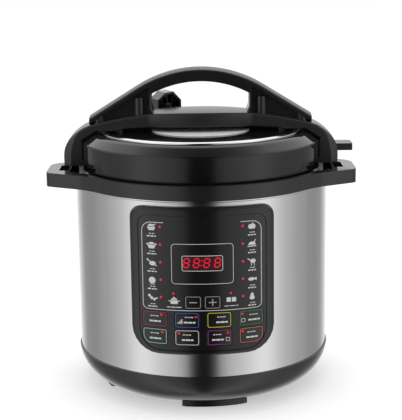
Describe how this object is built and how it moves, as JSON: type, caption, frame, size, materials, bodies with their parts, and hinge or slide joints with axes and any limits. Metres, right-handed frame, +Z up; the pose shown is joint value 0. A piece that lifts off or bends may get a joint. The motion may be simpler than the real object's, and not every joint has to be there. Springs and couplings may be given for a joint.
{
  "type": "electric pressure cooker",
  "caption": "Electric pressure cooker: steel body, bayonet lid with arched bridge and carrying handle, steam valve, float, removable pot and a curved front control panel.",
  "frame": {"origin": "on the table, under the middle of the feet, on the axis of the pot and the lid", "axes": "+Z is up along the pot's axis, the control panel faces -Y, +X is to the right seen from the front"},
  "size_m": [0.313, 0.2905, 0.33],
  "materials": {
    "black_gloss": "gloss",
    "panel_gloss": "gloss",
    "brushed_sleeve": "satin, brushed round the body",
    "inner_steel": "satin",
    "sheet_steel": "plain",
    "screw_steel": "zinc bright",
    "bright_trim": "polished",
    "satin_plate": "satin",
    "cast_heater": "as cast, turned top",
    "foot_rubber": "matt",
    "seal_silicone": "matt",
    "red_silicone": "matt",
    "red_pin": "gloss",
    "board_green": "satin",
    "ceramic": "matt",
    "dark_switch": "matt",
    "clear_cup": "clear"
  },
  "bodies": {
    "housing": {"feet": "foot_rubber", "base_shell": "black_gloss", "base_screws": "screw_steel", "outer_sleeve": "brushed_sleeve", "rim_collar": "black_gloss", "ear_brackets": "sheet_steel", "ear_screws": "screw_steel", "outer_vessel": "inner_steel", "vessel_bracket": "sheet_steel", "heating_plate": "cast_heater", "probe_guide": "sheet_steel", "probe_spring": "sheet_steel", "thermal_fuse": "ceramic", "pressure_switch": "dark_switch", "power_board": "board_green", "power_inlet": "black_gloss", "cup_holder": "black_gloss", "panel_bezel": "black_gloss", "panel_film": "panel_gloss", "display_window": "panel_gloss", "display_board": "board_green"},
    "lid": {"lid_dome": "inner_steel", "seal_rack": "inner_steel", "rack_nut": "inner_steel", "lid_cover": "black_gloss", "trim_ring": "bright_trim", "lid_plate": "satin_plate", "bridge": "black_gloss", "handle": "black_gloss", "bridge_screws": "screw_steel", "steam_pipe": "inner_steel", "pipe_nut": "inner_steel", "anti_block_cap": "inner_steel", "float_seat": "red_silicone"},
    "seal": {"sealing_ring": "seal_silicone"},
    "pot": {"inner_pot": "inner_steel"},
    "probe": {"temp_probe": "inner_steel"},
    "float": {"float_pin": "red_pin"},
    "valve": {"valve_knob": "black_gloss"},
    "cup": {"condensate_cup": "clear_cup"},
    "key_minus_body": {"key_minus": "panel_gloss"},
    "key_plus_body": {"key_plus": "panel_gloss"},
    "key_1_body": {"key_1": "panel_gloss"},
    "key_2_body": {"key_2": "panel_gloss"},
    "key_3_body": {"key_3": "panel_gloss"},
    "key_4_body": {"key_4": "panel_gloss"},
    "key_5_body": {"key_5": "panel_gloss"},
    "key_6_body": {"key_6": "panel_gloss"},
    "key_7_body": {"key_7": "panel_gloss"},
    "key_8_body": {"key_8": "panel_gloss"}
  },
  "joints": [
    {"name": "lid_lift", "type": "slide", "parent": "housing", "child": "seal", "axis": [0, 0, 1], "range_m": [0, 0.4]},
    {"name": "lid_turn", "type": "hinge", "parent": "seal", "child": "lid", "pos_m": [0, 0, 0.24], "axis": [0, 0, 1], "range_deg": [0, 22.5]},
    {"name": "pot_lift", "type": "slide", "parent": "housing", "child": "pot", "axis": [0, 0, 1], "range_m": [0, 0.18]},
    {"name": "probe_press", "type": "slide", "parent": "housing", "child": "probe", "axis": [0, 0, 1], "range_m": [-0.003, 0], "stiffness_N_per_m": 600, "springref_m": 0.002, "deforming": ["probe_spring"]},
    {"name": "float_rise", "type": "slide", "parent": "lid", "child": "float", "axis": [0, 0, 1], "range_m": [0, 0.005]},
    {"name": "valve_turn", "type": "hinge", "parent": "lid", "child": "valve", "pos_m": [-0.037, 0.055, 0.28], "axis": [0, 0, 1], "range_deg": [0, 90]},
    {"name": "cup_slide", "type": "slide", "parent": "housing", "child": "cup", "axis": [0, 1, 0], "range_m": [0, 0.03]},
    {"name": "key_minus_press", "type": "slide", "parent": "housing", "child": "key_minus_body", "axis": [0, 1, 0], "range_m": [0, 0.0004], "stiffness_N_per_m": 1500, "springref_m": -0.0002},
    {"name": "key_plus_press", "type": "slide", "parent": "housing", "child": "key_plus_body", "axis": [0, 1, 0], "range_m": [0, 0.0004], "stiffness_N_per_m": 1500, "springref_m": -0.0002},
    {"name": "key_1_press", "type": "slide", "parent": "housing", "child": "key_1_body", "axis": [0, 1, 0], "range_m": [0, 0.0004], "stiffness_N_per_m": 1500, "springref_m": -0.0002},
    {"name": "key_2_press", "type": "slide", "parent": "housing", "child": "key_2_body", "axis": [0, 1, 0], "range_m": [0, 0.0004], "stiffness_N_per_m": 1500, "springref_m": -0.0002},
    {"name": "key_3_press", "type": "slide", "parent": "housing", "child": "key_3_body", "axis": [0, 1, 0], "range_m": [0, 0.0004], "stiffness_N_per_m": 1500, "springref_m": -0.0002},
    {"name": "key_4_press", "type": "slide", "parent": "housing", "child": "key_4_body", "axis": [0, 1, 0], "range_m": [0, 0.0004], "stiffness_N_per_m": 1500, "springref_m": -0.0002},
    {"name": "key_5_press", "type": "slide", "parent": "housing", "child": "key_5_body", "axis": [0, 1, 0], "range_m": [0, 0.0004], "stiffness_N_per_m": 1500, "springref_m": -0.0002},
    {"name": "key_6_press", "type": "slide", "parent": "housing", "child": "key_6_body", "axis": [0, 1, 0], "range_m": [0, 0.0004], "stiffness_N_per_m": 1500, "springref_m": -0.0002},
    {"name": "key_7_press", "type": "slide", "parent": "housing", "child": "key_7_body", "axis": [0, 1, 0], "range_m": [0, 0.0004], "stiffness_N_per_m": 1500, "springref_m": -0.0002},
    {"name": "key_8_press", "type": "slide", "parent": "housing", "child": "key_8_body", "axis": [0, 1, 0], "range_m": [0, 0.0004], "stiffness_N_per_m": 1500, "springref_m": -0.0002}
  ],
  "couplings": [
    {"joint": "pot_lift", "follows": "lid_lift", "ratio": 0.45}
  ]
}
